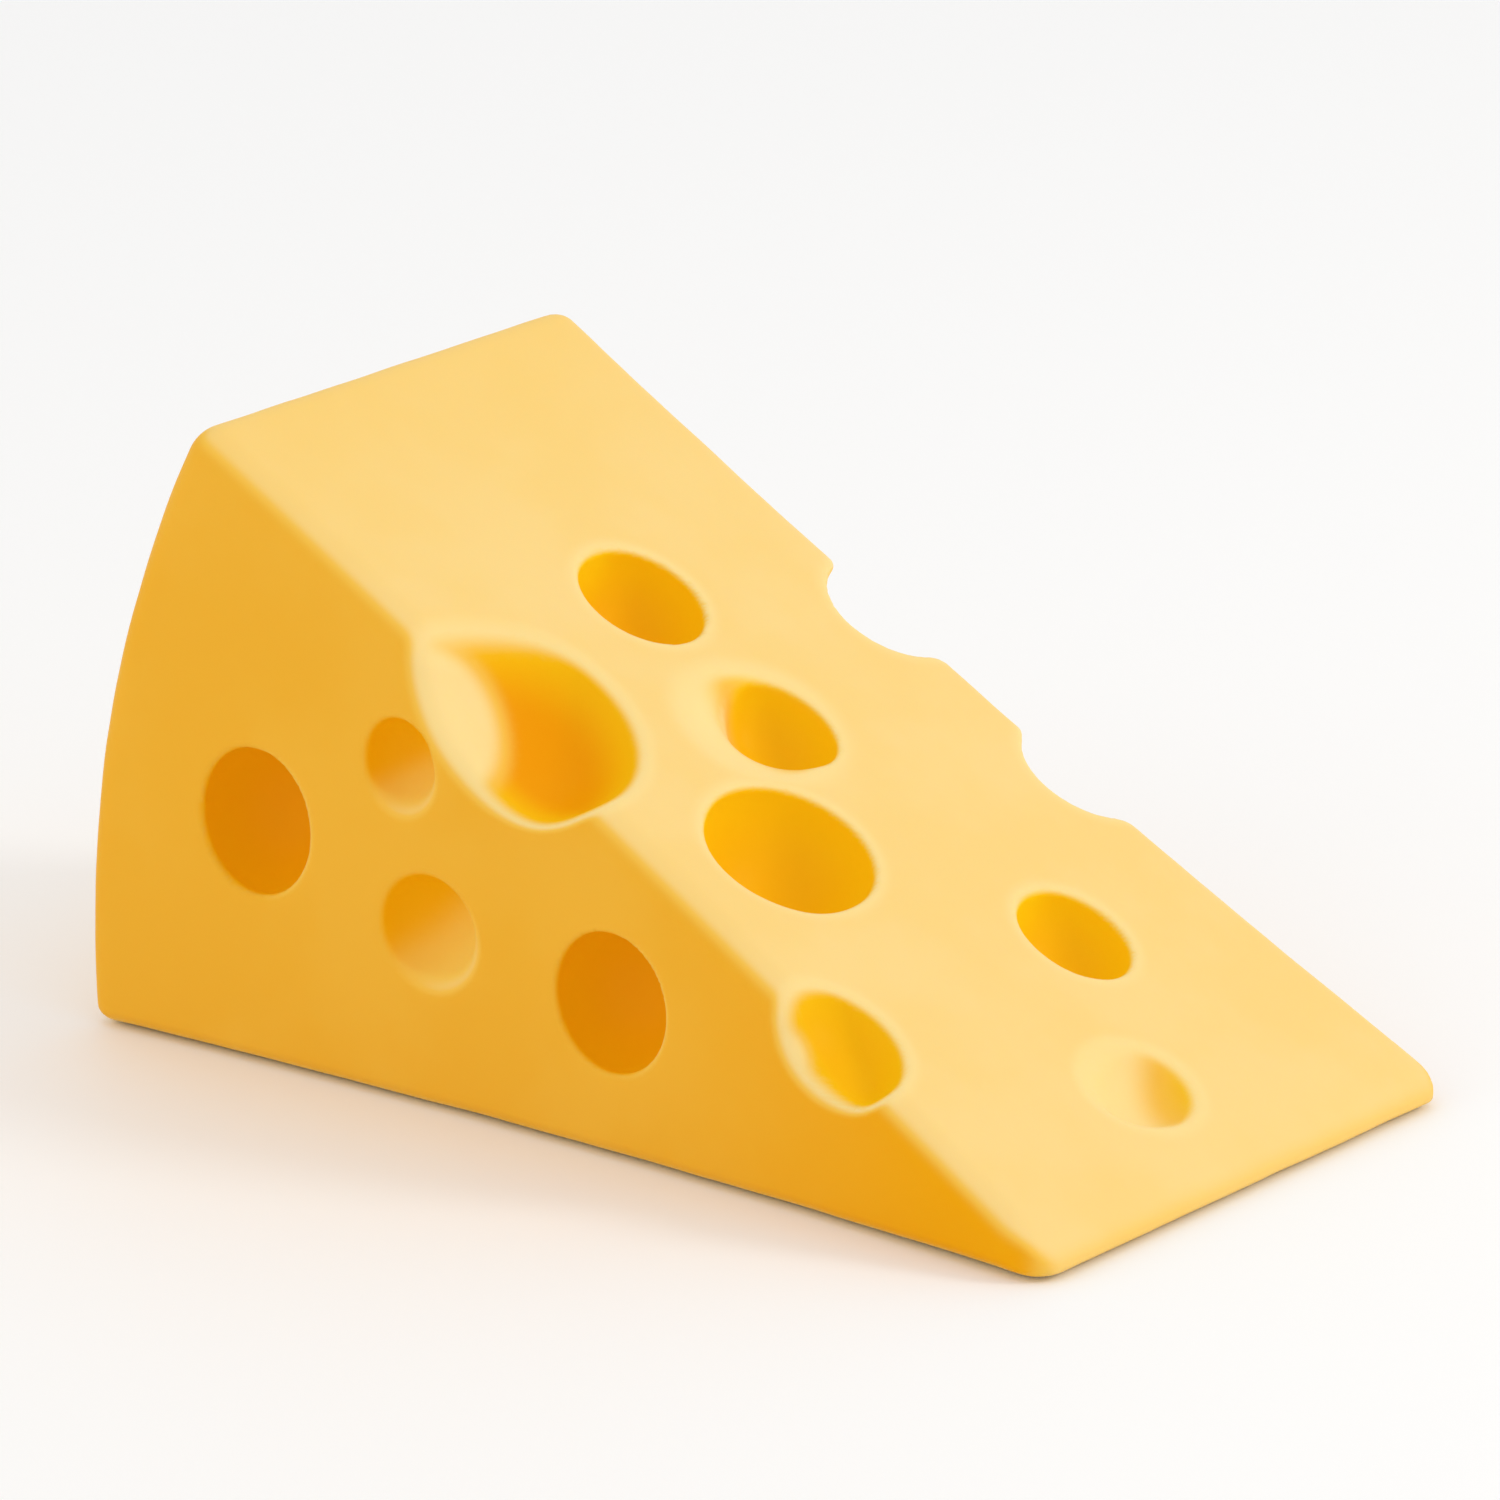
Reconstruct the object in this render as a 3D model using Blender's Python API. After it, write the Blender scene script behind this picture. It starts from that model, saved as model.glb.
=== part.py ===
"""A wedge of large-eyed cheese, cut from a wheel and lying on one of its two cut faces.

The upper face is the other cut face. It slopes from the rind down to a low blunt tip. The front and the
back are the wheel's flat sides, and the far end is a piece of its round rim. Round eyes open in the faces
and bite into the edges. Lengths are in metres, +X runs to the tip, +Y to the back and +Z up, and the
origin is on the surface under the middle of the wedge.
"""

import math
from collections import namedtuple

import bmesh
import bpy
from mathutils import Matrix, Vector

# The wheel and the cut, seen from the front. Distances run back from the foot of the tip, and the
# hub is the middle of the rim's curve.
RIND_RADIUS = 0.1516
HUB_BACK = 0.0084
HUB_HEIGHT = 0.0113
SLOPE = math.radians(30.04)
TIP_HEIGHT = 0.0043
UPPER_DISH = 0.0005

# Widths from front to back: the wheel is thinner at its rim, and both sides are drawn in a little.
TIP_WIDTH = 0.0896
RIND_WIDTH = 0.0788
WAIST = 0.0029

# Rounding of the edges, and the share of the local height that it may take near the tip.
TIP_ROUNDING = 0.0076
RIND_ROUNDING = 0.0034
SIDE_ROUNDING = 0.0048
TIP_CORNER_ROUNDING = 0.0054
UPPER_ROUNDING = 0.0050
LOWER_ROUNDING = 0.0027
MOST_OF_UPPER_HEIGHT = 0.55
MOST_OF_LOWER_HEIGHT = 0.30
CORNER_REACH = 0.016

# The body's grid. Each rounding starts at the shoulder lines, with lines 15 and 30 degrees round it.
SHOULDER = 0.8
ROUNDING_LINES = (0.0, math.tan(math.radians(15)), math.tan(math.radians(30)))
STEPS_ALONG, STEPS_ACROSS, STEPS_UP = 14, 6, 8

# The eyes. "along" is the distance from the tip, up the slope or along the floor, and "across" is the
# height on the front and back and the place from the middle on the upper and lower faces. The mouth has
# one radius along and one across, both to the middle of its lip, "depth" is the deepest point and "lip"
# the rounding of the mouth's edge.
Eye = namedtuple("Eye", "face along across radius_along radius_across depth lip")
EYES = (
    Eye("upper", 0.1132, 0.0012, 0.0091, 0.0089, 0.0100, 0.0011),
    Eye("upper", 0.0880, -0.0003, 0.0092, 0.0093, 0.0086, 0.0018),
    Eye("upper", 0.0691, -0.0169, 0.0115, 0.0125, 0.0125, 0.0012),
    Eye("upper", 0.0410, 0.0113, 0.0084, 0.0077, 0.0085, 0.0013),
    Eye("upper", 0.0165, -0.0037, 0.0074, 0.0082, 0.0044, 0.0018),
    Eye("front", 0.1306, 0.0334, 0.0090, 0.0099, 0.0118, 0.0009),
    Eye("front", 0.0715, 0.0211, 0.0092, 0.0094, 0.0112, 0.0009),
    Eye("front", 0.1067, 0.0458, 0.0057, 0.0063, 0.0056, 0.0012),
    Eye("front", 0.1020, 0.0244, 0.0080, 0.0076, 0.0060, 0.0013),
    Eye("back", 0.1205, 0.0505, 0.0092, 0.0100, 0.0108, 0.0011),
    Eye("back", 0.1340, 0.0225, 0.0080, 0.0075, 0.0062, 0.0016),
    Eye("back", 0.1005, 0.0245, 0.0118, 0.0110, 0.0120, 0.0012),
    Eye("back", 0.0740, 0.0130, 0.0070, 0.0074, 0.0075, 0.0012),
    Eye("back", 0.0415, 0.0105, 0.0058, 0.0052, 0.0036, 0.0015),
    Eye("lower", 0.1200, 0.0150, 0.0105, 0.0098, 0.0098, 0.0012),
    Eye("lower", 0.0930, -0.0185, 0.0080, 0.0086, 0.0075, 0.0013),
    Eye("lower", 0.0500, 0.0110, 0.0076, 0.0072, 0.0060, 0.0013),
    Eye("lower", 0.1290, -0.0200, 0.0056, 0.0060, 0.0034, 0.0015),
)
MIDDLE_OF_LIP = 0.3

# The eyes that bite into an edge of the upper face, as balls: "above" is how far a ball's middle stands
# over the upper face. The cutters' lips end a share of the lip over the face, their facets are about one
# side length wide, and a side's lean is measured between nearby points.
EdgeEye = namedtuple("EdgeEye", "side along across above radius upper_lip side_lip")
EDGE_EYES = (
    EdgeEye("front", 0.1026, -0.0368, 0.0060, 0.0177, 0.0013, 0.0013),
    EdgeEye("front", 0.0408, -0.0411, 0.0016, 0.0101, 0.0012, 0.0013),
    EdgeEye("back", 0.0979, 0.03825, -0.0056, 0.0106, 0.0012, 0.0012),
    EdgeEye("back", 0.0635, 0.0408, -0.0054, 0.0102, 0.0012, 0.0012),
)
LIP_CREST = 0.09
LIP_STEPS = 3
BALL_STEPS = 5
CUTTER_CLEARANCE = 0.006
SIDE_LENGTH = 0.0037
NEARBY = 0.001

# The paste, as a linear colour with its gloss.
PASTE_COLOUR = (0.93, 0.56, 0.13, 1.0)
PASTE_ROUGHNESS = 0.42
PASTE_SUBSURFACE = 0.25

LENGTH = RIND_RADIUS + HUB_BACK


def clear_scene():
    for obj in list(bpy.data.objects):
        bpy.data.objects.remove(obj)


def mixed(first, second, share):
    return first + (second - first) * share


def height_of_slope(back):
    """Height of the upper cut face, before it is dished, at a distance back from the tip."""
    return TIP_HEIGHT + back * math.tan(SLOPE)


def rind_point(share):
    """Point of the round rim, from its foot (0) to where the upper face ends (1), as (back, height)."""
    foot = -math.asin(HUB_HEIGHT / RIND_RADIUS)
    to_slope = (height_of_slope(HUB_BACK) - HUB_HEIGHT) * math.cos(SLOPE)
    top = SLOPE + math.asin(to_slope / RIND_RADIUS)
    angle = mixed(foot, top, share)
    back = HUB_BACK + RIND_RADIUS * math.cos(angle)
    return back, HUB_HEIGHT + RIND_RADIUS * math.sin(angle)


def bow(back, reach):
    """0 at the tip and at the reach, and 1 halfway."""
    share = min(max(back / reach, 0.0), 1.0)
    return 4 * share * (1 - share)


def half_width(back):
    """Half of the wedge's width at a distance back from the tip."""
    return mixed(TIP_WIDTH, RIND_WIDTH, back / LENGTH) / 2 - WAIST * bow(back, LENGTH)


def dish(back):
    return UPPER_DISH * bow(back, rind_point(1.0)[0])


def placed(back, across, height):
    """The point in the part's own frame, whose origin is under the middle of the wedge."""
    return Vector((LENGTH / 2 - back, across, height))


def rounded(place, rounding):
    """Split a block coordinate into its place on the core and how far round the edge it lies, 0 to 1."""
    size = abs(place)
    core = min(size / SHOULDER, 1.0) * (1 - rounding)
    turn = max(size - SHOULDER, 0.0) / (1 - SHOULDER)
    return math.copysign(core, place), math.copysign(turn, place)


def roundings(block):
    """The three roundings at a block point, each as a share of half the size that way."""
    to_tip = (1 - block.x) / 2
    local_height = mixed(TIP_HEIGHT, rind_point(1.0)[1], to_tip)
    near_tip = max(0.0, 1 - to_tip * LENGTH / CORNER_REACH)
    lengthwise = TIP_ROUNDING if block.x > 0 else RIND_ROUNDING
    sideways = mixed(SIDE_ROUNDING, TIP_CORNER_ROUNDING, near_tip)
    if block.z > 0:
        upward = min(UPPER_ROUNDING, MOST_OF_UPPER_HEIGHT * local_height)
    else:
        upward = min(LOWER_ROUNDING, MOST_OF_LOWER_HEIGHT * local_height)
    halves = (LENGTH / 2, half_width(to_tip * LENGTH), local_height / 2)
    return [size / half for size, half in zip((lengthwise, sideways, upward), halves)]


def wedge_point(block):
    """Carry a point of the block, each coordinate from -1 to 1, to the wedge."""
    shares = roundings(block)
    core, turn = zip(*(rounded(place, share) for place, share in zip(block, shares)))
    turn = Vector(turn)
    if turn.length:
        turn.normalize()
    x, y, z = (middle + share * step for middle, share, step in zip(core, shares, turn))
    along, up = (1 - x) / 2, (1 + z) / 2
    rim_back, rim_height = rind_point(up)
    back = mixed(0.0, rim_back, along)
    height = mixed(TIP_HEIGHT * up, rim_height, along) - dish(back) * up
    return placed(back, y * half_width(back), height)


def stations(steps):
    """Where the grid's lines cross one axis of the block."""
    flat = [SHOULDER * (2 * step / steps - 1) for step in range(1, steps)]
    shoulders = [SHOULDER + (1 - SHOULDER) * line for line in ROUNDING_LINES]
    return flat + shoulders + [-place for place in shoulders]


def wedge_mesh():
    """The wedge without its eyes: a gridded block whose points are carried to the wedge's surface."""
    bm = bmesh.new()
    bmesh.ops.create_cube(bm, size=2.0)
    for axis, steps in enumerate((STEPS_ALONG, STEPS_ACROSS, STEPS_UP)):
        normal = Vector((0.0, 0.0, 0.0))
        normal[axis] = 1.0
        for place in stations(steps):
            everything = bm.verts[:] + bm.edges[:] + bm.faces[:]
            bmesh.ops.bisect_plane(bm, geom=everything, plane_co=normal * place, plane_no=normal)
    for vert in bm.verts:
        vert.co = wedge_point(vert.co.copy())
    mesh = bpy.data.meshes.new("wedge")
    bm.to_mesh(mesh)
    bm.free()
    return mesh


def face_frame(face, along, across):
    """Matrix at a point of a face: X runs back from the tip and Z out of the cheese."""
    if face == "upper":
        back = along * math.cos(SLOPE)
        point = placed(back, across, height_of_slope(back) - dish(back))
        away = Vector((-math.cos(SLOPE), 0.0, math.sin(SLOPE)))
        out = Vector((math.sin(SLOPE), 0.0, math.cos(SLOPE)))
    elif face == "lower":
        point = placed(along, across, 0.0)
        away, out = Vector((-1.0, 0.0, 0.0)), Vector((0.0, 0.0, -1.0))
    else:
        side = -1.0 if face == "front" else 1.0
        point = placed(along, side * half_width(along), across)
        lean = (half_width(along + NEARBY) - half_width(along - NEARBY)) / (2 * NEARBY)
        away = Vector((-1.0, side * lean, 0.0)).normalized()
        out = Vector((lean, side, 0.0)).normalized()
    sideways = out.cross(away)
    turn = Matrix((away, sideways, out)).transposed()
    return Matrix.Translation(point) @ turn.to_4x4()


def arc(middle, radius, start, end, steps):
    """Points of an arc in the profile's plane, angles measured from straight outwards."""
    angles = [mixed(start, end, step / steps) for step in range(steps + 1)]
    return [(middle[0] + radius * math.cos(a), middle[1] + radius * math.sin(a)) for a in angles]


def mouth_profile(radius, sunk, lip, with_ball):
    """Half section of a cutter, from its foot to its top, as (distance from the axis, height).

    A ball whose middle lies "sunk" below the face is joined to the face by a rounded lip, which ends a
    little over the face so that the two never run level. Without the ball only the lip is cut.
    """
    lip_height = -lip * (1 - LIP_CREST)
    lip_reach = math.sqrt((radius + lip) ** 2 - (lip_height + sunk) ** 2)
    to_lip = math.atan2(lip_height + sunk, lip_reach)
    if with_ball:
        points = arc((0.0, -sunk), radius, -math.pi / 2, to_lip, BALL_STEPS)
    else:
        points = [(0.0, -sunk + radius * math.sin(to_lip))]
    points += arc((lip_reach, lip_height), lip, math.pi + to_lip, math.pi / 2, LIP_STEPS)
    rim, crest = points[-1]
    top = crest + radius + CUTTER_CLEARANCE
    return points + [(rim + lip, crest + lip), (rim + lip, top), (0.0, top)]


def turned_cutter(name, profile, frame, stretch, collection):
    """A hidden cutter: the profile turned about Z, stretched along and across, and put at a frame."""
    widest = max(point[0] for point in profile)
    sides = 2 * round(math.pi * widest / SIDE_LENGTH)
    bm = bmesh.new()
    verts = [bm.verts.new((x, 0.0, z)) for x, z in profile]
    edges = [bm.edges.new(pair) for pair in zip(verts, verts[1:])]
    bmesh.ops.spin(
        bm, geom=verts + edges, cent=(0, 0, 0), axis=(0, 0, 1), angle=2 * math.pi, steps=sides
    )
    bmesh.ops.remove_doubles(bm, verts=bm.verts, dist=1e-6)
    bmesh.ops.scale(bm, verts=bm.verts, vec=(stretch[0], stretch[1], 1.0))
    bmesh.ops.transform(bm, matrix=frame, verts=bm.verts)
    bmesh.ops.recalc_face_normals(bm, faces=bm.faces)
    mesh = bpy.data.meshes.new(name)
    bm.to_mesh(mesh)
    bm.free()
    cutter = bpy.data.objects.new(name, mesh)
    cutter.hide_render = True
    cutter.display_type = "WIRE"
    collection.objects.link(cutter)


def face_eye_cutter(name, eye, collection):
    """Cutter for an eye that opens in one face: the mouth's mean radius and the depth give its ball."""
    middle_of_lip = (eye.radius_along + eye.radius_across) / 2
    mouth = middle_of_lip - MIDDLE_OF_LIP * eye.lip
    radius = (mouth**2 + eye.depth**2) / (2 * eye.depth)
    profile = mouth_profile(radius, eye.depth - radius, eye.lip, True)
    frame = face_frame(eye.face, eye.along, eye.across)
    stretch = (eye.radius_along / middle_of_lip, eye.radius_across / middle_of_lip)
    turned_cutter(name, profile, frame, stretch, collection)


def edge_eye_cutters(name, eye, collection):
    """Cutters for an eye in an edge: its ball with the upper face's lip, and the side's lip."""
    upper = face_frame("upper", eye.along, eye.across)
    profile = mouth_profile(eye.radius, -eye.above, eye.upper_lip, True)
    turned_cutter(name + "_upper", profile, upper, (1.0, 1.0), collection)
    middle = upper @ Vector((0.0, 0.0, eye.above))
    side = face_frame(eye.side, LENGTH / 2 - middle.x, middle.z)
    sunk = -(side.inverted() @ middle).z
    profile = mouth_profile(eye.radius, sunk, eye.side_lip, False)
    turned_cutter(name + "_side", profile, side, (1.0, 1.0), collection)


def eye_cutters():
    collection = bpy.data.collections.new("eye_cutters")
    bpy.context.scene.collection.children.link(collection)
    for number, eye in enumerate(EYES, 1):
        face_eye_cutter(f"eye_{number}", eye, collection)
    for number, eye in enumerate(EDGE_EYES, 1):
        edge_eye_cutters(f"edge_eye_{number}", eye, collection)
    return collection


def paste_material():
    """Pale yellow paste of a semi-hard cheese: waxy, with a little light in its depth."""
    material = bpy.data.materials.new("cheese_paste")
    material.use_nodes = True
    shader = material.node_tree.nodes["Principled BSDF"]
    shader.inputs["Base Color"].default_value = PASTE_COLOUR
    shader.inputs["Roughness"].default_value = PASTE_ROUGHNESS
    shader.inputs["Metallic"].default_value = 0.0
    shader.inputs["Subsurface Weight"].default_value = PASTE_SUBSURFACE
    return material


def cheese_wedge():
    """The wedge with its eyes cut out."""
    wedge = bpy.data.objects.new("cheese_wedge", wedge_mesh())
    bpy.context.scene.collection.objects.link(wedge)
    wedge.data.materials.append(paste_material())
    wedge.data.shade_smooth()
    eyes = wedge.modifiers.new("eyes", "BOOLEAN")
    eyes.operation = "DIFFERENCE"
    eyes.solver = "EXACT"
    eyes.operand_type = "COLLECTION"
    eyes.collection = eye_cutters()


clear_scene()
cheese_wedge()
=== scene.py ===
"""A wedge of large-eyed cheese, dressed over its plain solid and lit as in a pale studio.

The visible wedge is one mesh. A copy of the plain solid is remeshed, and its points are moved to a smooth
surface: the rounded wedge with a ball taken out at each eye and a soft lip round each mouth. Lengths are in
metres, +X runs to the tip, +Y to the back and +Z up.
"""

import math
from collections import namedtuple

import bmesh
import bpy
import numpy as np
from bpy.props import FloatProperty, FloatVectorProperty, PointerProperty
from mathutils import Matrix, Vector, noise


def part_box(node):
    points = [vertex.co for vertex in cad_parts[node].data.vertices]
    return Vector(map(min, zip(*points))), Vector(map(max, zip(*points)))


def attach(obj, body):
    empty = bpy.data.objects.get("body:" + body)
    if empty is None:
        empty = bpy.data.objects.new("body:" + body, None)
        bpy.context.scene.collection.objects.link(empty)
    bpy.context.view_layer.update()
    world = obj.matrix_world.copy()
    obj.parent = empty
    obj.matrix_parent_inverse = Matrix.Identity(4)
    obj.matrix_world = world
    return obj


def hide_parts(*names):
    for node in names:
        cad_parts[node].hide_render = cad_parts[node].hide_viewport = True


bl_info = {
    "name": "Cheese Wedge",
    "version": (1, 0, 0),
    "blender": (4, 5, 0),
    "location": "3D View > Sidebar > Cheese",
    "description": "Builds a wedge of large-eyed cheese and a pale studio for it",
    "category": "Add Mesh",
}

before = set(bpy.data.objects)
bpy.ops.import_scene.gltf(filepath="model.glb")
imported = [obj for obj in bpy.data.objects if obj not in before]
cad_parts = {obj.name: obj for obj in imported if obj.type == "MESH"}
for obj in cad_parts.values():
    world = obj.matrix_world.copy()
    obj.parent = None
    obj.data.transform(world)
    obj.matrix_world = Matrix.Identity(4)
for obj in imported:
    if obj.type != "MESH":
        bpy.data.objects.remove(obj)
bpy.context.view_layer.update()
LOW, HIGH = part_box("cheese_wedge")
MM = 0.001
TINY = 1e-6

# The wedge: its length and width are the plain solid's, and the rest is the wheel it was cut from.
LENGTH = HIGH.x - LOW.x
TIP_WIDTH = 0.0896
RIND_WIDTH = 0.0788
WAIST = 2.9 * MM
RIND_RADIUS = 0.1516
HUB_BACK = LENGTH - RIND_RADIUS
HUB_HEIGHT = 11.3 * MM
SLOPE = math.radians(30.04)
TIP_HEIGHT = 4.3 * MM
UPPER_DISH = 0.5 * MM

# Roundings of the edges. Those of the upper and lower edges are smaller where the tip is thin.
TIP_ROUNDING = 7.3 * MM
RIND_ROUNDING = 3.4 * MM
SIDE_ROUNDING = 4.8 * MM
UPPER_ROUNDING = 4.33 * MM
UPPER_ROUNDING_AT_TIP = 2.05 * MM
LOWER_ROUNDING = 2.7 * MM
LOWER_ROUNDING_AT_TIP = 1.3 * MM
THIN_TIP = (2.0 * MM, 7.5 * MM)

# Eyes that open in one face, in millimetres and degrees. "along" is the distance from the tip, up the slope
# or along the floor, and "across" the height on the front and back and the place from the middle on the
# upper and lower faces. The radii reach to the middle of the lip. "lip" and "soft_lip" round the mouth's
# edge on its crisp and its soft side, and "soft_side" is the soft side's angle in the face, from straight
# away from the tip. The wall on that side has a painted highlight, paler as if light fell on it, starting
# at the share after "soft_side" and full at the next, as shares of the way from the middle to the rim. The
# last two are how much painted shade, the deep colour, the wall and the floor have. The second and third
# are one eye, with a ramp on its soft side.
Eye = namedtuple(
    "Eye",
    "face along across radius_along radius_across depth lip soft_lip soft_side pale_from pale_to"
    " wall_tone floor_tone",
)
EYES = (
    Eye("upper", 113.2, 1.2, 9.1, 8.9, 10.0, 0.8, 1.6, 60, 0.97, 1.1, 0.0, 0.5),
    Eye("upper", 88.4, -1.7, 9.6, 10.5, 2.9, 0.9, 2.0, 80, -0.8, 0.75, 0.1, 0.3),
    Eye("upper", 87.2, 2.2, 8.3, 6.9, 8.6, 0.8, 3.2, 75, 0.0, 0.95, 0.05, 0.42),
    Eye("upper", 69.1, -16.9, 11.5, 12.5, 12.5, 0.9, 2.2, 100, 0.82, 1.05, 0.0, 0.42),
    Eye("upper", 41.0, 11.3, 8.4, 7.7, 8.5, 0.9, 1.6, 60, 0.97, 1.1, 0.0, 0.35),
    Eye("upper", 16.5, -3.7, 7.4, 8.2, 4.4, 1.2, 3.0, 60, -1.3, 0.15, 0.3, 0.3),
    Eye("front", 130.6, 33.4, 9.0, 9.9, 11.8, 0.7, 1.0, 180, 1.0, 1.2, 0.55, 0.72),
    Eye("front", 71.5, 21.1, 9.2, 9.4, 11.2, 0.7, 1.0, 180, 1.0, 1.2, 0.55, 0.72),
    Eye("front", 106.7, 45.8, 5.7, 6.3, 5.6, 0.8, 2.8, 120, -0.45, 1.25, 0.7, 0.7),
    Eye("front", 102.0, 24.4, 8.0, 7.6, 6.0, 0.8, 2.4, 135, -0.7, 1.05, 0.7, 0.7),
    Eye("back", 120.5, 50.5, 9.2, 10.0, 10.8, 0.8, 1.6, 200, 0.97, 1.1, 0.4, 0.7),
    Eye("back", 134.0, 22.5, 8.0, 7.5, 6.2, 1.2, 2.4, 250, -0.2, 1.2, 0.5, 0.9),
    Eye("back", 100.5, 24.5, 11.8, 11.0, 12.0, 0.8, 1.8, 200, 0.85, 1.05, 0.5, 0.7),
    Eye("back", 74.0, 13.0, 7.0, 7.4, 7.5, 0.8, 1.6, 200, 0.97, 1.1, 0.4, 0.65),
    Eye("back", 41.5, 10.5, 5.8, 5.2, 3.6, 1.2, 2.2, 200, 0.0, 1.0, 0.3, 0.5),
    Eye("lower", 120.0, 15.0, 10.5, 9.8, 9.8, 0.9, 1.6, 60, 0.97, 1.1, 0.1, 0.55),
    Eye("lower", 93.0, -18.5, 8.0, 8.6, 7.5, 0.9, 1.6, 60, 0.97, 1.1, 0.1, 0.5),
    Eye("lower", 50.0, 11.0, 7.6, 7.2, 6.0, 0.9, 1.6, 60, 0.5, 0.9, 0.1, 0.4),
    Eye("lower", 129.0, -20.0, 5.6, 6.0, 3.4, 1.1, 2.0, 60, 0.2, 0.7, 0.2, 0.3),
)

# Eyes that bite into an edge of the upper face, two in the front edge and two in the back one. "above" is
# how far the ball's middle stands over that face and "depth" how deep the eye goes. The ball is smaller
# where its lip is softer, which is towards "soft_way". Its wall has a painted highlight where it faces the
# key light, towards the way given below, between the two cosines of the angle from it that follow
# "soft_way", and the last two are how much painted shade the wall and the floor have. MIDDLE_OF_LIP is
# where a lip's middle lies, as a share of its rounding.
EdgeEye = namedtuple(
    "EdgeEye",
    "along across above radius depth lip soft_lip soft_way pale_from pale_to wall_tone floor_tone",
)
EDGE_EYES = (
    EdgeEye(103.6, -36.2, 6.0, 18.7, 8.0, 1.6, 4.7, (-0.93, -0.30, -0.20), 0.67, 0.9, 0.5, 1.0),
    EdgeEye(40.6, -40.8, 1.6, 10.1, 5.0, 1.2, 3.8, (-0.72, -0.45, -0.53), 0.80, 1.0, 0.45, 0.55),
    EdgeEye(97.9, 38.25, -5.6, 10.6, 9.0, 1.5, 1.5, (0.6, 0.6, -0.5), 1.0, 1.2, 0.4, 0.7),
    EdgeEye(63.5, 40.8, -5.4, 10.2, 9.0, 1.5, 1.5, (0.6, 0.6, -0.5), 1.0, 1.2, 0.4, 0.7),
)
# The way from a ball's middle to the part of its wall that faces the key light and has the painted highlight.
HIGHLIGHT_WAY = Vector((-0.844, -0.173, -0.508))
MIDDLE_OF_LIP = 0.3

# A lip softens between these cosines of the angle from the eye's soft side, and the wall's painted shade
# comes to its own amount between these shares of that softness. The painted highlight on a lip against the
# wheel's outside grows with it too.
SOFT_FROM_TO = (-0.2, 1.0)
EDGE_SOFT_FROM_TO = (0.0, 0.85)
WALL_SHADE_FROM_TO = (0.0, 0.5)
LIP_HIGHLIGHT_FROM_TO = (0.1, 0.7)

# Where the paste's colours change: over the turn of an edge towards the wheel's outside, whose deeper colour
# is partly its own tone and partly painted shade, and of which the tip's end counts for less, as painted
# shade of that end; over the way past a lip into an eye; and over an eye's depth, where the painted shade
# deepens. Eyes that overlap blend over a short distance. A lip's painted highlight ends at LIP_END of its
# rounding, and the painted highlight round a mouth has a width.
OUTSIDE_FROM_TO = (0.25, 1.0)
TIP_END_SHADE = 0.5
IN_EYE_FROM_TO = (-0.2, 0.55)
LIP_MARGIN = 0.5 * MM
DEEP_FROM_TO = (0.2, 0.95)
EYES_BLEND = 0.3 * MM
LIP_END = 0.8
RIM_HIGHLIGHT_WIDTH = 2.6 * MM

# The mesh: each round moves its points to the surface in so many steps, none longer than a length. The
# least rate keeps a step short where the distance hardly changes. Faces are split where it turns sharply.
ONTO_SURFACE = ((3, 1.0 * MM), (2, 0.5 * MM), (2, 0.3 * MM))
LEAST_RATE = 0.1
RELAX_TIMES = 4
SHARP_TURN = math.radians(9)

# The soft unevenness: the width of its waves, their seed and their share of the height.
RELIEF_WAVES = ((14 * MM, 1.7, 1.0), (5 * MM, 3.1, 0.4))

# Noise in the paste's colour and finish, by its scale per metre and its detail, and where colours change
# along X: the painted sheen on the cut faces fades towards the rim, and the outside takes a painted glow
# and shade towards the thin tip.
PATCHES = (45.0, 3.0)
PALER_FROM_TO = (0.35, 0.65)
GRAIN = (900.0, 2.0)
GRAIN_ROUGHNESS = 0.05
GRAIN_STRENGTH = 0.05
GRAIN_HEIGHT = 0.4 * MM
SHEEN_FADE_FROM_TO = (-85 * MM, -15 * MM)
TIP_GLOW_FROM_TO = (5 * MM, 70 * MM)

# The stage.
FLOOR_REACH = 4.0
FLOOR_DROP = 0.05 * MM
FLOOR_ROUGHNESS = 0.6
WHITE = (1.0, 1.0, 1.0, 1.0)
KEY_COLOUR = (1.0, 0.97, 0.92)
LIGHT_TARGET = Vector((0.0, 0.0, 0.04))
LIGHT_DISTANCE = 1.2
FILL_SIZE = 0.8
CAMERA_AZIMUTH = math.radians(37.70)
CAMERA_ELEVATION = math.radians(17.504)
CAMERA_DISTANCE = 1.45759
CAMERA_TARGET = Vector((0.48 * MM, 0.0, 43.37 * MM))
CAMERA_SENSOR = 36.0
CAMERA_LENS = 271.0

# What an eye does at each point: the distance outside its ball, the rounding of its lip, how much painted
# highlight its wall has, its depth, how much painted shade, the deep colour, its wall and floor have, how
# much painted highlight its lip has against the wheel's outside, and whether it opens there.
Hollow = namedtuple("Hollow", "distance lip pale depth wall_tone floor_tone pale_lip outside")


def mixed(first, second, share):
    return first + (second - first) * share


def smooth(low, high, value):
    """0 below low, 1 above high and an even curve between."""
    share = np.clip((value - low) / (high - low), 0.0, 1.0)
    return share * share * (3 - 2 * share)


def bow(back, reach):
    """0 at the tip and at the reach, and 1 halfway."""
    share = np.clip(back / reach, 0.0, 1.0)
    return 4 * share * (1 - share)


def slope_end():
    """How far back from the tip the upper face meets the wheel's rim."""
    rise = (TIP_HEIGHT + HUB_BACK * math.tan(SLOPE) - HUB_HEIGHT) * math.cos(SLOPE)
    return HUB_BACK + RIND_RADIUS * math.cos(SLOPE + math.asin(rise / RIND_RADIUS))


def upper_height(back):
    return TIP_HEIGHT + back * math.tan(SLOPE) - UPPER_DISH * bow(back, slope_end())


def half_width(back):
    return mixed(TIP_WIDTH, RIND_WIDTH, back / LENGTH) / 2 - WAIST * bow(back, LENGTH)


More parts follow.
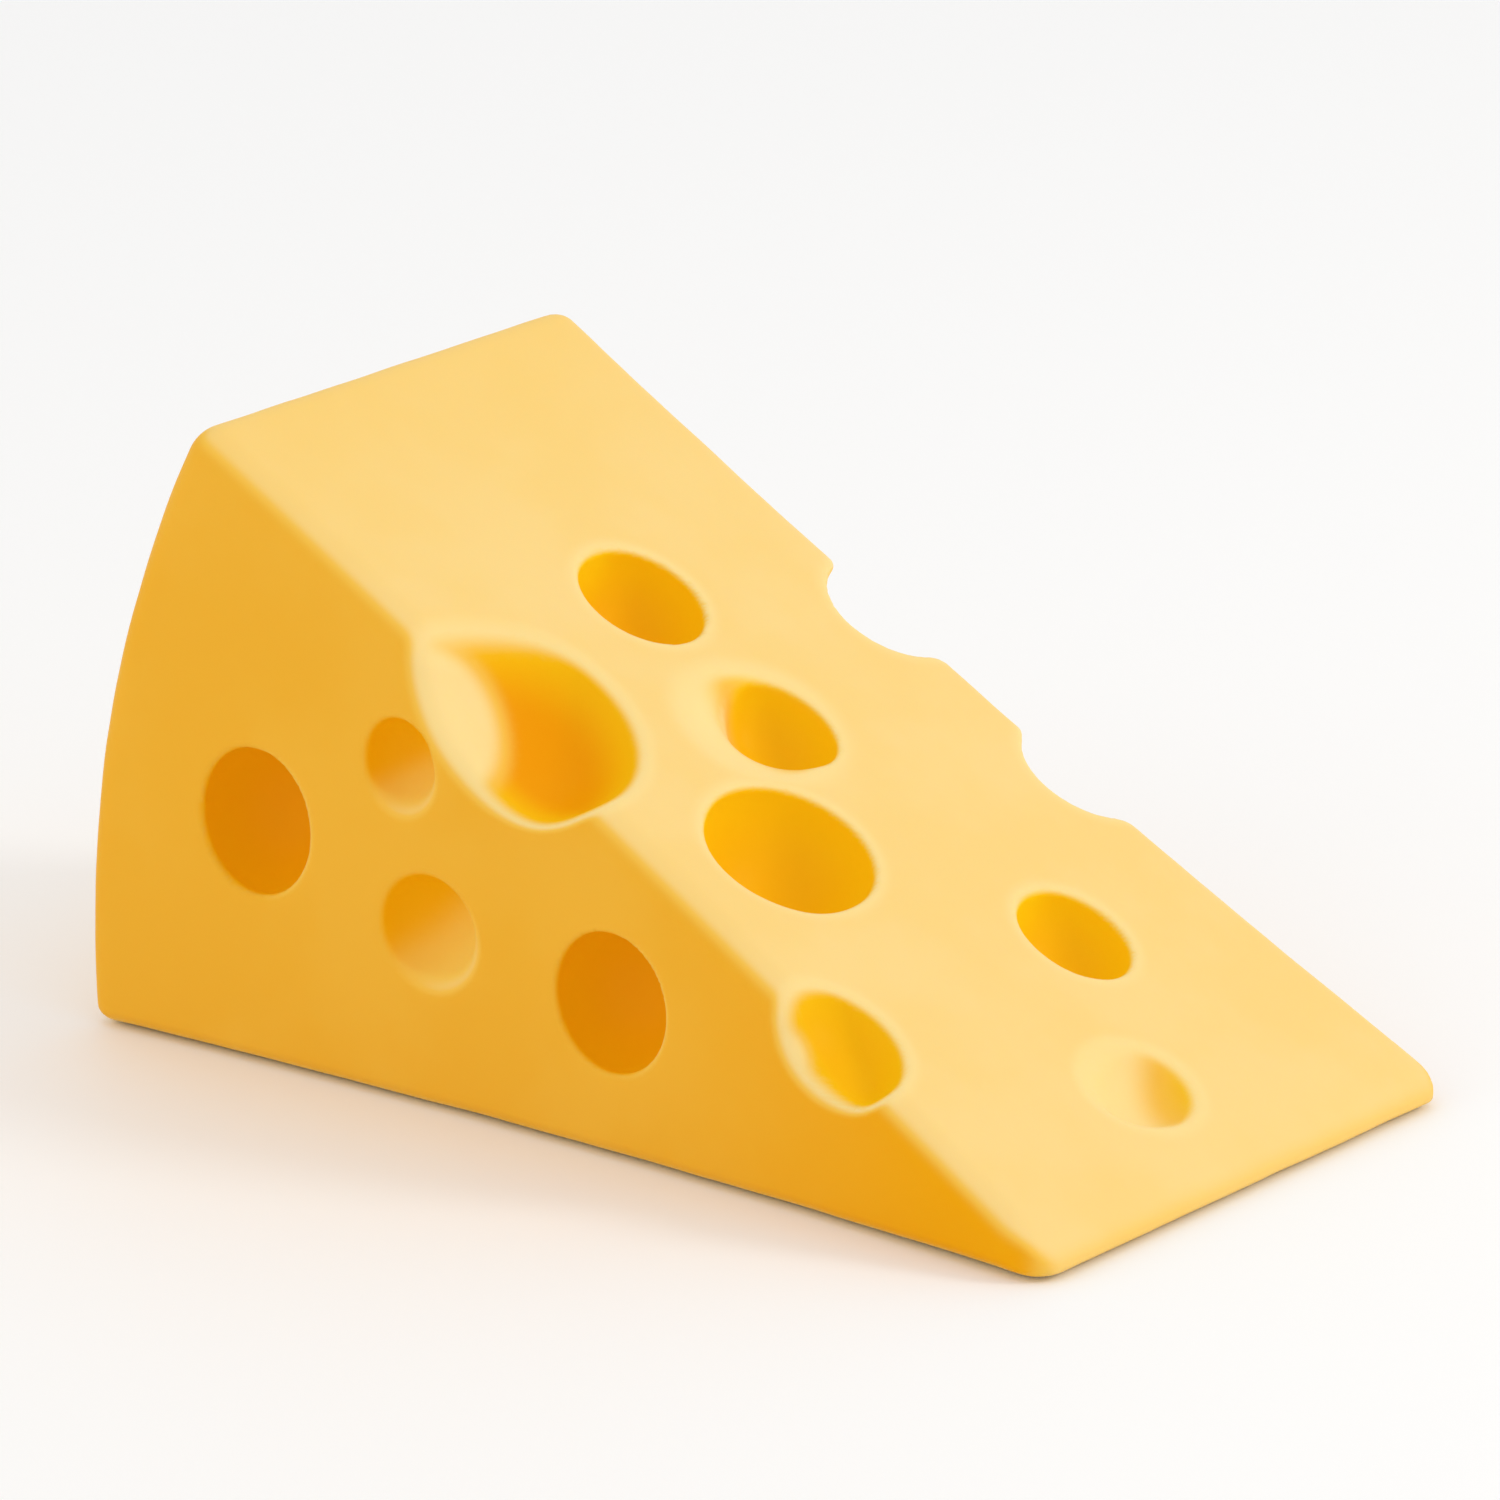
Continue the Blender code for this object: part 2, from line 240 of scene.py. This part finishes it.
def face_distances(points):
    """Distance outside each face, and its edges' rounding: lengthwise, sideways and up and down."""
    back = LENGTH / 2 - points[:, 0]
    across, height = points[:, 1], points[:, 2]
    thickness = smooth(*THIN_TIP, back)
    tip = -back
    rim = np.hypot(back - HUB_BACK, height - HUB_HEIGHT) - RIND_RADIUS
    upper = (height - upper_height(back)) * math.cos(SLOPE)
    lower = -height
    lengthwise = np.maximum(tip, rim)
    sideways = np.abs(across) - half_width(back)
    upright = np.maximum(upper, lower)
    roundings = (
        np.where(tip > rim, TIP_ROUNDING, RIND_ROUNDING),
        np.full(len(points), SIDE_ROUNDING),
        np.where(
            upper > lower,
            mixed(UPPER_ROUNDING_AT_TIP, UPPER_ROUNDING, thickness),
            mixed(LOWER_ROUNDING_AT_TIP, LOWER_ROUNDING, thickness),
        ),
    )
    return np.stack((lengthwise, sideways, upright)), np.stack(roundings)


def wedge_distance(points):
    """Distance outside the rounded wedge without its eyes, negative inside."""
    away, rounding = face_distances(points)
    turn = np.maximum(away + rounding, 0.0) / rounding
    size = np.linalg.norm(turn, axis=0)
    rate = np.linalg.norm(turn / rounding, axis=0)
    near = size > 0
    inside = away.max(axis=0)
    return np.where(near, (size - 1) * size / np.where(near, rate, 1.0), inside)


def face_frame(face, along, across):
    """Matrix at a point of a face: X runs back from the tip and Z out of the cheese."""
    if face == "upper":
        back = along * math.cos(SLOPE)
        point = Vector((LENGTH / 2 - back, across, float(upper_height(back))))
        away = Vector((-math.cos(SLOPE), 0.0, math.sin(SLOPE)))
        out = Vector((math.sin(SLOPE), 0.0, math.cos(SLOPE)))
    elif face == "lower":
        point = Vector((LENGTH / 2 - along, across, 0.0))
        away, out = Vector((-1.0, 0.0, 0.0)), Vector((0.0, 0.0, -1.0))
    else:
        side = -1.0 if face == "front" else 1.0
        point = Vector((LENGTH / 2 - along, side * float(half_width(along)), across))
        lean = float(half_width(along + MM) - half_width(along - MM)) / (2 * MM)
        away = Vector((-1.0, side * lean, 0.0)).normalized()
        out = Vector((lean, side, 0.0)).normalized()
    turn = Matrix((away, out.cross(away), out)).transposed()
    return Matrix.Translation(point) @ turn.to_4x4()


def in_frame(points, matrix):
    """The points as the frame sees them."""
    inverse = np.array(matrix.inverted())
    return points @ inverse[:3, :3].T + inverse[:3, 3]


def face_eye(points, eye):
    """The hollow of an eye in one face."""
    seen = in_frame(points, face_frame(eye.face, eye.along * MM, eye.across * MM))
    middle_of_lip = (eye.radius_along + eye.radius_across) / 2 * MM
    stretch = np.array((eye.radius_along, eye.radius_across)) * MM / middle_of_lip
    flat = seen[:, :2] / stretch
    side = math.radians(eye.soft_side)
    towards = flat @ np.array((math.cos(side), math.sin(side)))
    softness = smooth(*SOFT_FROM_TO, towards / np.maximum(np.linalg.norm(flat, axis=1), MM))
    lip = mixed(eye.lip, eye.soft_lip, softness) * MM
    mouth, depth = middle_of_lip - MIDDLE_OF_LIP * lip, eye.depth * MM
    radius = (mouth**2 + depth**2) / (2 * depth)
    ball = np.column_stack((flat, seen[:, 2] + depth - radius))
    size = np.maximum(np.linalg.norm(ball, axis=1), MM)
    slant = np.linalg.norm(ball / size[:, None] / np.append(stretch, 1.0), axis=1)
    # Painted highlight on the wall on the soft side, where it faces the light.
    pale = smooth(eye.pale_from, eye.pale_to, towards / middle_of_lip)
    # Painted highlight on the lip, the stronger where the lip is softer.
    pale_lip = mixed(*LIP_HIGHLIGHT_FROM_TO, softness)
    # Painted shade: how much of the deep colour the wall and the floor take.
    middle_shade = (eye.wall_tone + eye.floor_tone) / 2
    wall_tone = mixed(middle_shade, eye.wall_tone, smooth(*WALL_SHADE_FROM_TO, softness))
    outside = float(eye.face in ("front", "back"))
    return Hollow((size - radius) / slant, lip, pale, depth, wall_tone, eye.floor_tone, pale_lip, outside)


def edge_eye(points, eye):
    """The hollow of an eye in an edge, whose soft side is a direction in space."""
    frame_here = face_frame("upper", eye.along * MM, eye.across * MM)
    middle = frame_here @ Vector((0.0, 0.0, eye.above * MM))
    ball = points - np.array(middle)
    size = np.maximum(np.linalg.norm(ball, axis=1), MM)
    way = np.array(Vector(eye.soft_way).normalized())
    softness = smooth(*EDGE_SOFT_FROM_TO, ball @ way / size)
    lip = mixed(eye.lip, eye.soft_lip, softness) * MM
    radius = eye.radius * MM - (lip - eye.lip * MM)
    # Painted highlight on the wall that faces the key light.
    pale = smooth(eye.pale_from, eye.pale_to, ball @ np.array(HIGHLIGHT_WAY) / size)
    return Hollow(size - radius, lip, pale, eye.depth * MM, eye.wall_tone, eye.floor_tone, 1.0, 0.0)


def hollows(points):
    """Every eye's hollow in turn."""
    for eye in EYES:
        yield face_eye(points, eye)
    for eye in EDGE_EYES:
        yield edge_eye(points, eye)


def rounded_corner(first, second, radius):
    """The larger of two distances, with the edge where they meet rounded."""
    over = np.hypot(np.maximum(first + radius, 0.0), np.maximum(second + radius, 0.0))
    return np.minimum(np.maximum(first, second), -radius) + over


def cheese_distance(points):
    """Distance outside the wedge with its eyes taken out."""
    distance = wedge_distance(points)
    for hollow in hollows(points):
        distance = rounded_corner(distance, -hollow.distance, hollow.lip)
    return distance


def slope_of(distance_at, points, step=0.02 * MM):
    """The distance and its rate of change along X, Y and Z at each point."""
    here = distance_at(points)
    rates = [(distance_at(points + step * way) - here) / step for way in np.eye(3)]
    return here, np.column_stack(rates)


def coordinates(mesh):
    flat = np.empty(len(mesh.vertices) * 3)
    mesh.vertices.foreach_get("co", flat)
    return flat.reshape(-1, 3)


def set_coordinates(mesh, points):
    mesh.vertices.foreach_set("co", points.astype(np.float32).ravel())
    mesh.update()


def onto_surface(mesh, steps, furthest):
    """Move a mesh's points to where the cheese's distance is nought, a little at a time."""
    points = coordinates(mesh)
    for _ in range(steps):
        here, rate = slope_of(cheese_distance, points)
        step = here / np.maximum((rate**2).sum(axis=1), LEAST_RATE)
        points = points - rate * np.clip(step, -furthest, furthest)[:, None]
    set_coordinates(mesh, points)


def applied(obj):
    """Give an object the mesh that its modifiers make, and drop them."""
    graph = bpy.context.evaluated_depsgraph_get()
    mesh = bpy.data.meshes.new_from_object(obj.evaluated_get(graph))
    obj.modifiers.clear()
    obj.data = mesh


def remesh(obj, size):
    modifier = obj.modifiers.new("even faces", "REMESH")
    modifier.mode = "VOXEL"
    modifier.voxel_size = size
    applied(obj)


def relax(obj, times):
    modifier = obj.modifiers.new("relax", "SMOOTH")
    modifier.factor = 0.5
    modifier.iterations = times
    applied(obj)


def split_turning_faces(mesh, angle):
    """Split the faces round every edge across which the surface turns by more than an angle."""
    bm = bmesh.new()
    bm.from_mesh(mesh)
    turning = [edge for edge in bm.edges if edge.calc_face_angle(0.0) > angle]
    faces = {face for edge in turning for vert in edge.verts for face in vert.link_faces}
    edges = {edge for face in faces for edge in face.edges}
    bmesh.ops.subdivide_edges(bm, edges=list(edges), cuts=1, use_grid_fill=True)
    bm.to_mesh(mesh)
    bm.free()
    mesh.update()


def waves(points, spread, seed):
    """Smooth noise from -1 to 1 at each point."""
    shift = Vector((seed, 2.3 * seed, 5.1 * seed))
    return np.array([noise.noise(Vector(point) / spread + shift) for point in points])


def store(mesh, name, values):
    attribute = mesh.attributes.new(name, "FLOAT", "POINT")
    attribute.data.foreach_set("value", values.astype(np.float32))


def outside_share(points):
    """How far each point belongs to the wheel's outside, whose deeper colour is partly its own tone and
    partly painted shade: the front, the back, the rim and part of the tip's end, there as painted shade.
    """
    away, rounding = face_distances(points)
    turn = (np.maximum(away + rounding, 0.0) / rounding) ** 2
    # Painted shade: the tip's end takes part of the outside's deeper colour.
    ends = np.where(points[:, 0] < 0, 1.0, TIP_END_SHADE)
    return smooth(*OUTSIDE_FROM_TO, (turn[1] + ends * turn[0]) / np.maximum(turn.sum(axis=0), TINY))


def mark_regions(mesh):
    """Keep what the paste's colours follow at each point.

    "in_eye" is how far it belongs to an eye, "deep" how much painted shade, the deep colour, it has there,
    "pale" how much painted highlight the eye's wall has where it faces the light, and "side_eye" whether
    the eye opens in the wheel's outside. "outside" is how far the point itself belongs to that outside, whose
    colour is partly its own tone and partly painted shade, less where a lip has a painted highlight, and
    "rim" is a painted highlight round an eye's mouth, 1 at the mouth and 0 well away from it.
    """
    points = coordinates(mesh)
    depth = np.maximum(-wedge_distance(points), 0.0)
    sums = np.zeros((4, len(points)))
    weights = pale_lip = rim = 0.0
    for hollow in hollows(points):
        past_lip = (depth - hollow.distance) / (hollow.lip + LIP_MARGIN)
        # Painted shade: the deep colour grows with the depth in the eye.
        tone = mixed(hollow.wall_tone, hollow.floor_tone, smooth(*DEEP_FROM_TO, depth / hollow.depth))
        regions = smooth(*IN_EYE_FROM_TO, past_lip), tone, hollow.pale, hollow.outside
        weight = np.exp(-hollow.distance / EYES_BLEND)
        sums += weight * np.stack(np.broadcast_arrays(*regions))
        weights = weights + weight
        # Painted highlights on the lips and round each mouth.
        middle_of_lip = MIDDLE_OF_LIP * hollow.lip
        near_lip = 1 - smooth(middle_of_lip, LIP_END * hollow.lip + LIP_MARGIN, hollow.distance)
        pale_lip = np.maximum(pale_lip, hollow.pale_lip * near_lip)
        rim = np.maximum(rim, 1 - smooth(0.0, RIM_HIGHLIGHT_WIDTH, hollow.distance - middle_of_lip))
    for name, values in zip(("in_eye", "deep", "pale", "side_eye"), sums / weights):
        store(mesh, name, values)
    # The outside's colour gives way to the lips' painted highlight.
    store(mesh, "outside", outside_share(points) * (1 - pale_lip))
    store(mesh, "rim", rim)


def add_relief(mesh, height):
    """Move a mesh's points out and in by soft waves, and keep them above the floor."""
    points = coordinates(mesh)
    _, rate = slope_of(cheese_distance, points)
    normals = rate / np.linalg.norm(rate, axis=1)[:, None]
    relief = height * sum(share * waves(points, spread, seed) for spread, seed, share in RELIEF_WAVES)
    points += normals * relief[:, None]
    points[:, 2] = np.maximum(points[:, 2], 0.0)
    set_coordinates(mesh, points)


def wedge_object(look):
    """The visible wedge, without its material."""
    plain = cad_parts["cheese_wedge"]
    wedge = bpy.data.objects.new("cheese_wedge_paste", plain.data.copy())
    wedge.data.materials.clear()
    bpy.context.scene.collection.objects.link(wedge)
    remesh(wedge, look.face_size)
    first, second, third = ONTO_SURFACE
    onto_surface(wedge.data, *first)
    relax(wedge, RELAX_TIMES)
    onto_surface(wedge.data, *second)
    split_turning_faces(wedge.data, SHARP_TURN)
    onto_surface(wedge.data, *third)
    add_relief(wedge.data, look.relief)
    mark_regions(wedge.data)
    wedge.data.shade_smooth()
    return wedge


class MaterialMaker:
    """Short calls for a material's nodes.

    An input is given by its name, or by the letter i and its number where its name has no place in a call.
    """

    def __init__(self, name):
        self.material = bpy.data.materials.new(name)
        self.material.use_nodes = True
        self.tree = self.material.node_tree
        self.shader = self.tree.nodes["Principled BSDF"]

    def node(self, kind, settings=None, **inputs):
        made = self.tree.nodes.new(kind)
        for key, value in (settings or {}).items():
            setattr(made, key, value)
        for key, value in inputs.items():
            numbered = key[0] == "i" and key[1:].isdigit()
            socket = made.inputs[int(key[1:]) if numbered else key]
            if isinstance(value, bpy.types.NodeSocket):
                self.tree.links.new(value, socket)
            else:
                socket.default_value = value
        return made

    def link(self, output, socket):
        self.tree.links.new(output, self.shader.inputs[socket])

    def fix(self, socket, value):
        self.shader.inputs[socket].default_value = value

    def attribute(self, name):
        return self.node("ShaderNodeAttribute", {"attribute_name": name}).outputs["Fac"]

    def ramp(self, value, low, high):
        """0 at low and 1 at high, evenly curved."""
        made = self.node(
            "ShaderNodeMapRange", {"interpolation_type": "SMOOTHSTEP"}, i0=value, i1=low, i2=high
        )
        return made.outputs["Result"]

    def blend(self, share, first, second):
        made = self.node("ShaderNodeMix", {"data_type": "RGBA"}, i0=share, i6=first, i7=second)
        return made.outputs[2]

    def blend_through(self, share, first, between, second):
        """A blend that passes through a third colour halfway."""
        half = self.blend(self.ramp(share, 0.0, 0.55), first, between)
        return self.blend(self.ramp(share, 0.45, 1.0), half, second)

    def noise(self, scale, detail, place):
        made = self.node("ShaderNodeTexNoise", Scale=scale, Detail=detail, Vector=place)
        return made.outputs["Fac"]


def paste_material(look):
    """Waxy yellow paste: pale where cut, with a painted sheen; deeper on the wheel's outside, partly its own
    tone and partly painted shade; painted shade deepest inside the eyes, and painted highlights on eye walls,
    lips and mouths.
    """
    maker = MaterialMaker("cheese_paste")
    place = maker.node("ShaderNodeTexCoord").outputs["Object"]
    patches = maker.noise(*PATCHES, place)
    grain = maker.noise(*GRAIN, place)
    along = maker.node("ShaderNodeSeparateXYZ", i0=place).outputs["X"]
    paler = maker.ramp(patches, *PALER_FROM_TO)
    cut = maker.blend(paler, (*look.cut_colour, 1), (*look.cut_colour_2, 1))
    # Painted sheen: the cut faces are paler towards the tip and deeper by the rim.
    cut = maker.blend(maker.ramp(along, *SHEEN_FADE_FROM_TO), (*look.cut_colour_past_sheen, 1), cut)
    # Painted highlight: the cut face is paler round each eye's mouth.
    cut = maker.blend(maker.attribute("rim"), cut, (*look.rim_highlight_colour, 1))
    # The outside's deeper colour, partly its own tone and partly painted shade.
    skin_tone_and_shade = maker.blend(paler, (*look.side_tone_and_shade_colour, 1), (*look.side_tone_and_shade_colour_2, 1))
    # Painted glow and shade: the outside is deeper orange towards the thin tip.
    skin_tone_and_shade = maker.blend(maker.ramp(along, *TIP_GLOW_FROM_TO), skin_tone_and_shade, (*look.tip_glow_and_shade_colour, 1))
    # A colour between pale and deep, which the painted shade and highlights pass through.
    between = (*look.between_colour, 1)
    surface = maker.blend_through(maker.attribute("outside"), cut, between, skin_tone_and_shade)
    # Painted shade inside the eyes, deepest far in, and a painted highlight on the wall that faces the light.
    eye = maker.blend(maker.attribute("deep"), (*look.eye_shade_colour, 1), (*look.deep_eye_shade_colour, 1))
    wall_highlight = maker.blend(maker.attribute("side_eye"), (*look.wall_highlight_colour, 1), (*look.side_wall_highlight_colour, 1))
    wall = maker.blend_through(maker.attribute("pale"), eye, between, wall_highlight)
    colour = maker.blend(maker.attribute("in_eye"), surface, wall)
    maker.link(colour, "Base Color")
    smoothest, roughest = look.roughness - GRAIN_ROUGHNESS, look.roughness + GRAIN_ROUGHNESS
    rough = maker.node("ShaderNodeMapRange", i0=grain, i3=smoothest, i4=roughest)
    maker.link(rough.outputs["Result"], "Roughness")
    bump = maker.node("ShaderNodeBump", Strength=GRAIN_STRENGTH, Distance=GRAIN_HEIGHT, Height=grain)
    maker.link(bump.outputs["Normal"], "Normal")
    maker.fix("Subsurface Weight", look.glow)
    maker.fix("Subsurface Radius", look.glow_colour)
    maker.fix("Subsurface Scale", look.glow_reach)
    maker.fix("Specular IOR Level", look.gloss)
    return maker.material


def plain_material(name, colour, roughness):
    maker = MaterialMaker(name)
    maker.fix("Base Color", (*colour, 1))
    maker.fix("Roughness", roughness)
    return maker.material


def linked(name, data):
    obj = bpy.data.objects.new(name, data)
    bpy.context.scene.collection.objects.link(obj)
    return obj


def direction(azimuth, elevation):
    """Unit vector from the wedge: azimuth turns from the front (-Y) to the tip's side (+X)."""
    flat = math.cos(elevation)
    return Vector((math.sin(azimuth) * flat, -math.cos(azimuth) * flat, math.sin(elevation)))


def aimed(obj, target, way, distance):
    obj.location = target + way * distance
    obj.rotation_euler = way.to_track_quat("Z", "Y").to_euler()


def soft_light(name, azimuth, elevation, size, power, colour):
    """A round lamp aimed at the wedge, with its place in degrees."""
    light = bpy.data.lights.new(name, "AREA")
    light.shape = "DISK"
    light.size = size
    light.energy = power
    light.color = colour
    way = direction(math.radians(azimuth), math.radians(elevation))
    aimed(linked(name, light), LIGHT_TARGET, way, LIGHT_DISTANCE)


class CheeseLook(bpy.types.PropertyGroup):
    """Sizes and colours of the cheese"""

    face_size: FloatProperty(
        name="Face size", description="Width of the even faces", default=1.08 * MM, unit="LENGTH"
    )
    relief: FloatProperty(
        name="Relief", description="Height of the soft unevenness", default=0.10 * MM, unit="LENGTH"
    )
    cut_colour: FloatVectorProperty(
        name="Cut face", description="Paste on the cut faces", subtype="COLOR", default=(0.945, 0.65, 0.22)
    )
    # Painted sheen: the cut faces by the rim are deeper, where the sheen has faded.
    cut_colour_past_sheen: FloatVectorProperty(
        name="Cut face, far", description="Cut faces by the rim", subtype="COLOR",
        default=(0.935, 0.615, 0.165),
    )
    cut_colour_2: FloatVectorProperty(
        name="Cut face, pale", description="Paler patches", subtype="COLOR", default=(0.95, 0.67, 0.25)
    )
    # Painted highlight round each eye's mouth.
    rim_highlight_colour: FloatVectorProperty(
        name="Rim", description="Cut face beside an eye", subtype="COLOR", default=(0.96, 0.715, 0.29)
    )
    # The outside's colour, partly its own tone and partly painted shade.
    side_tone_and_shade_colour: FloatVectorProperty(
        name="Side", description="The wheel's outside", subtype="COLOR", default=(0.885, 0.45, 0.032)
    )
    side_tone_and_shade_colour_2: FloatVectorProperty(
        name="Side, pale", description="Paler patches outside", subtype="COLOR", default=(0.895, 0.47, 0.04)
    )
    # Painted glow and shade of the outside by the thin tip.
    tip_glow_and_shade_colour: FloatVectorProperty(
        name="Side at the tip", description="Outside by the tip", subtype="COLOR",
        default=(0.885, 0.39, 0.002),
    )
    # Between pale and deep, part of the painted shade and highlights.
    between_colour: FloatVectorProperty(
        name="Between", description="Where pale meets deep", subtype="COLOR", default=(0.935, 0.55, 0.075)
    )
    # Painted shade inside the eyes, with the deeper colour far in.
    eye_shade_colour: FloatVectorProperty(
        name="Eye", description="Just inside an eye", subtype="COLOR", default=(0.985, 0.66, 0.006)
    )
    deep_eye_shade_colour: FloatVectorProperty(
        name="Deep eye", description="Deep inside an eye", subtype="COLOR", default=(0.885, 0.345, 0.0005)
    )
    # Painted highlight on an eye's wall where it faces the light, in the eye and on the outside.
    wall_highlight_colour: FloatVectorProperty(
        name="Pale wall", description="The lit side of an eye", subtype="COLOR", default=(0.985, 0.74, 0.31)
    )
    side_wall_highlight_colour: FloatVectorProperty(
        name="Pale wall, side", description="The same outside", subtype="COLOR", default=(0.95, 0.63, 0.11)
    )
    roughness: FloatProperty(
        name="Roughness", description="Dullness of the surface", subtype="FACTOR", default=0.45
    )
    glow: FloatProperty(
        name="Glow", description="Share of light that goes through the paste", subtype="FACTOR", default=0.12
    )
    glow_colour: FloatVectorProperty(
        name="Glow colour", description="Shares of the reach for each colour", default=(1.0, 0.55, 0.15)
    )
    glow_reach: FloatProperty(
        name="Glow reach", description="How far red light goes in the paste", default=2.5 * MM, unit="LENGTH"
    )
    gloss: FloatProperty(name="Gloss", description="Strength of reflections", subtype="FACTOR", default=0.04)


class StageLook(bpy.types.PropertyGroup):
    """Floor and lights"""

    floor_colour: FloatVectorProperty(
        name="Floor", description="The pale floor", subtype="COLOR", default=(0.98, 0.98, 0.98)
    )
    sky: FloatProperty(name="Sky", description="Brightness of the pale surroundings", default=0.88)
    key_power: FloatProperty(name="Key", description="Power of the main light", unit="POWER", default=2.9)
    key_azimuth: FloatProperty(name="Key azimuth", description="Way to it, in degrees", default=120)
    key_elevation: FloatProperty(name="Key elevation", description="Its height, in degrees", default=30)
    key_size: FloatProperty(name="Key size", description="Its width", unit="LENGTH", default=0.35)
    fill_power: FloatProperty(name="Fill", description="Power of the warm fill", unit="POWER", default=0.9)
    fill_azimuth: FloatProperty(name="Fill azimuth", description="Way to it, in degrees", default=-25)
    fill_elevation: FloatProperty(name="Fill elevation", description="Its height, in degrees", default=25)
    fill_colour: FloatVectorProperty(
        name="Fill colour", description="Warmth of the fill", subtype="COLOR", default=(1.0, 0.85, 0.6)
    )


class CHEESE_OT_wedge(bpy.types.Operator):
    """Make the wedge of cheese with its eyes"""

    bl_idname = "cheese.wedge"
    bl_label = "Cheese wedge"

    def execute(self, context):
        look = context.scene.cheese_look
        wedge = wedge_object(look)
        wedge.data.materials.append(paste_material(look))
        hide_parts("cheese_wedge")
        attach(wedge, "root")
        return {"FINISHED"}


class CHEESE_OT_stage(bpy.types.Operator):
    """Make the floor, the lights and the camera"""

    bl_idname = "cheese.stage"
    bl_label = "Studio"

    def execute(self, context):
        look = context.scene.stage_look
        make_floor(look)
        make_lights(look)
        make_camera()
        return {"FINISHED"}


def make_floor(look):
    mesh = bpy.data.meshes.new("floor")
    bm = bmesh.new()
    bmesh.ops.create_grid(bm, x_segments=1, y_segments=1, size=FLOOR_REACH)
    bm.to_mesh(mesh)
    bm.free()
    floor = linked("floor", mesh)
    floor.location.z = -FLOOR_DROP
    mesh.materials.append(plain_material("pale_floor", look.floor_colour, FLOOR_ROUGHNESS))


def make_lights(look):
    scene = bpy.context.scene
    scene.view_settings.view_transform = "Standard"
    world = bpy.data.worlds.new("pale surroundings")
    scene.world = world
    world.use_nodes = True
    sky = world.node_tree.nodes["Background"]
    sky.inputs["Color"].default_value = WHITE
    sky.inputs["Strength"].default_value = look.sky
    soft_light("key", look.key_azimuth, look.key_elevation, look.key_size, look.key_power, KEY_COLOUR)
    soft_light("fill", look.fill_azimuth, look.fill_elevation, FILL_SIZE, look.fill_power, look.fill_colour)


def make_camera():
    data = bpy.data.cameras.new("camera")
    data.sensor_width = CAMERA_SENSOR
    data.lens = CAMERA_LENS
    data.dof.use_dof = False
    camera = linked("camera", data)
    aimed(camera, CAMERA_TARGET, direction(CAMERA_AZIMUTH, CAMERA_ELEVATION), CAMERA_DISTANCE)
    bpy.context.scene.camera = camera


class CHEESE_PT_panel(bpy.types.Panel):
    """Lists the piece and the stage"""

    bl_idname = "CHEESE_PT_panel"
    bl_label = "Cheese Wedge"
    bl_space_type = "VIEW_3D"
    bl_region_type = "UI"
    bl_category = "Cheese"

    def draw(self, context):
        for look, operator in (("cheese_look", "cheese.wedge"), ("stage_look", "cheese.stage")):
            box = self.layout.box()
            settings = getattr(context.scene, look)
            for name in settings.__annotations__:
                box.prop(settings, name)
            box.operator(operator)


CLASSES = (CheeseLook, StageLook, CHEESE_OT_wedge, CHEESE_OT_stage, CHEESE_PT_panel)


def register():
    for cls in CLASSES:
        bpy.utils.register_class(cls)
    bpy.types.Scene.cheese_look = PointerProperty(type=CheeseLook)
    bpy.types.Scene.stage_look = PointerProperty(type=StageLook)


def unregister():
    del bpy.types.Scene.stage_look
    del bpy.types.Scene.cheese_look
    for cls in reversed(CLASSES):
        bpy.utils.unregister_class(cls)


def main():
    register()
    bpy.ops.cheese.wedge()
    bpy.ops.cheese.stage()


if __name__ == "__main__":
    main()
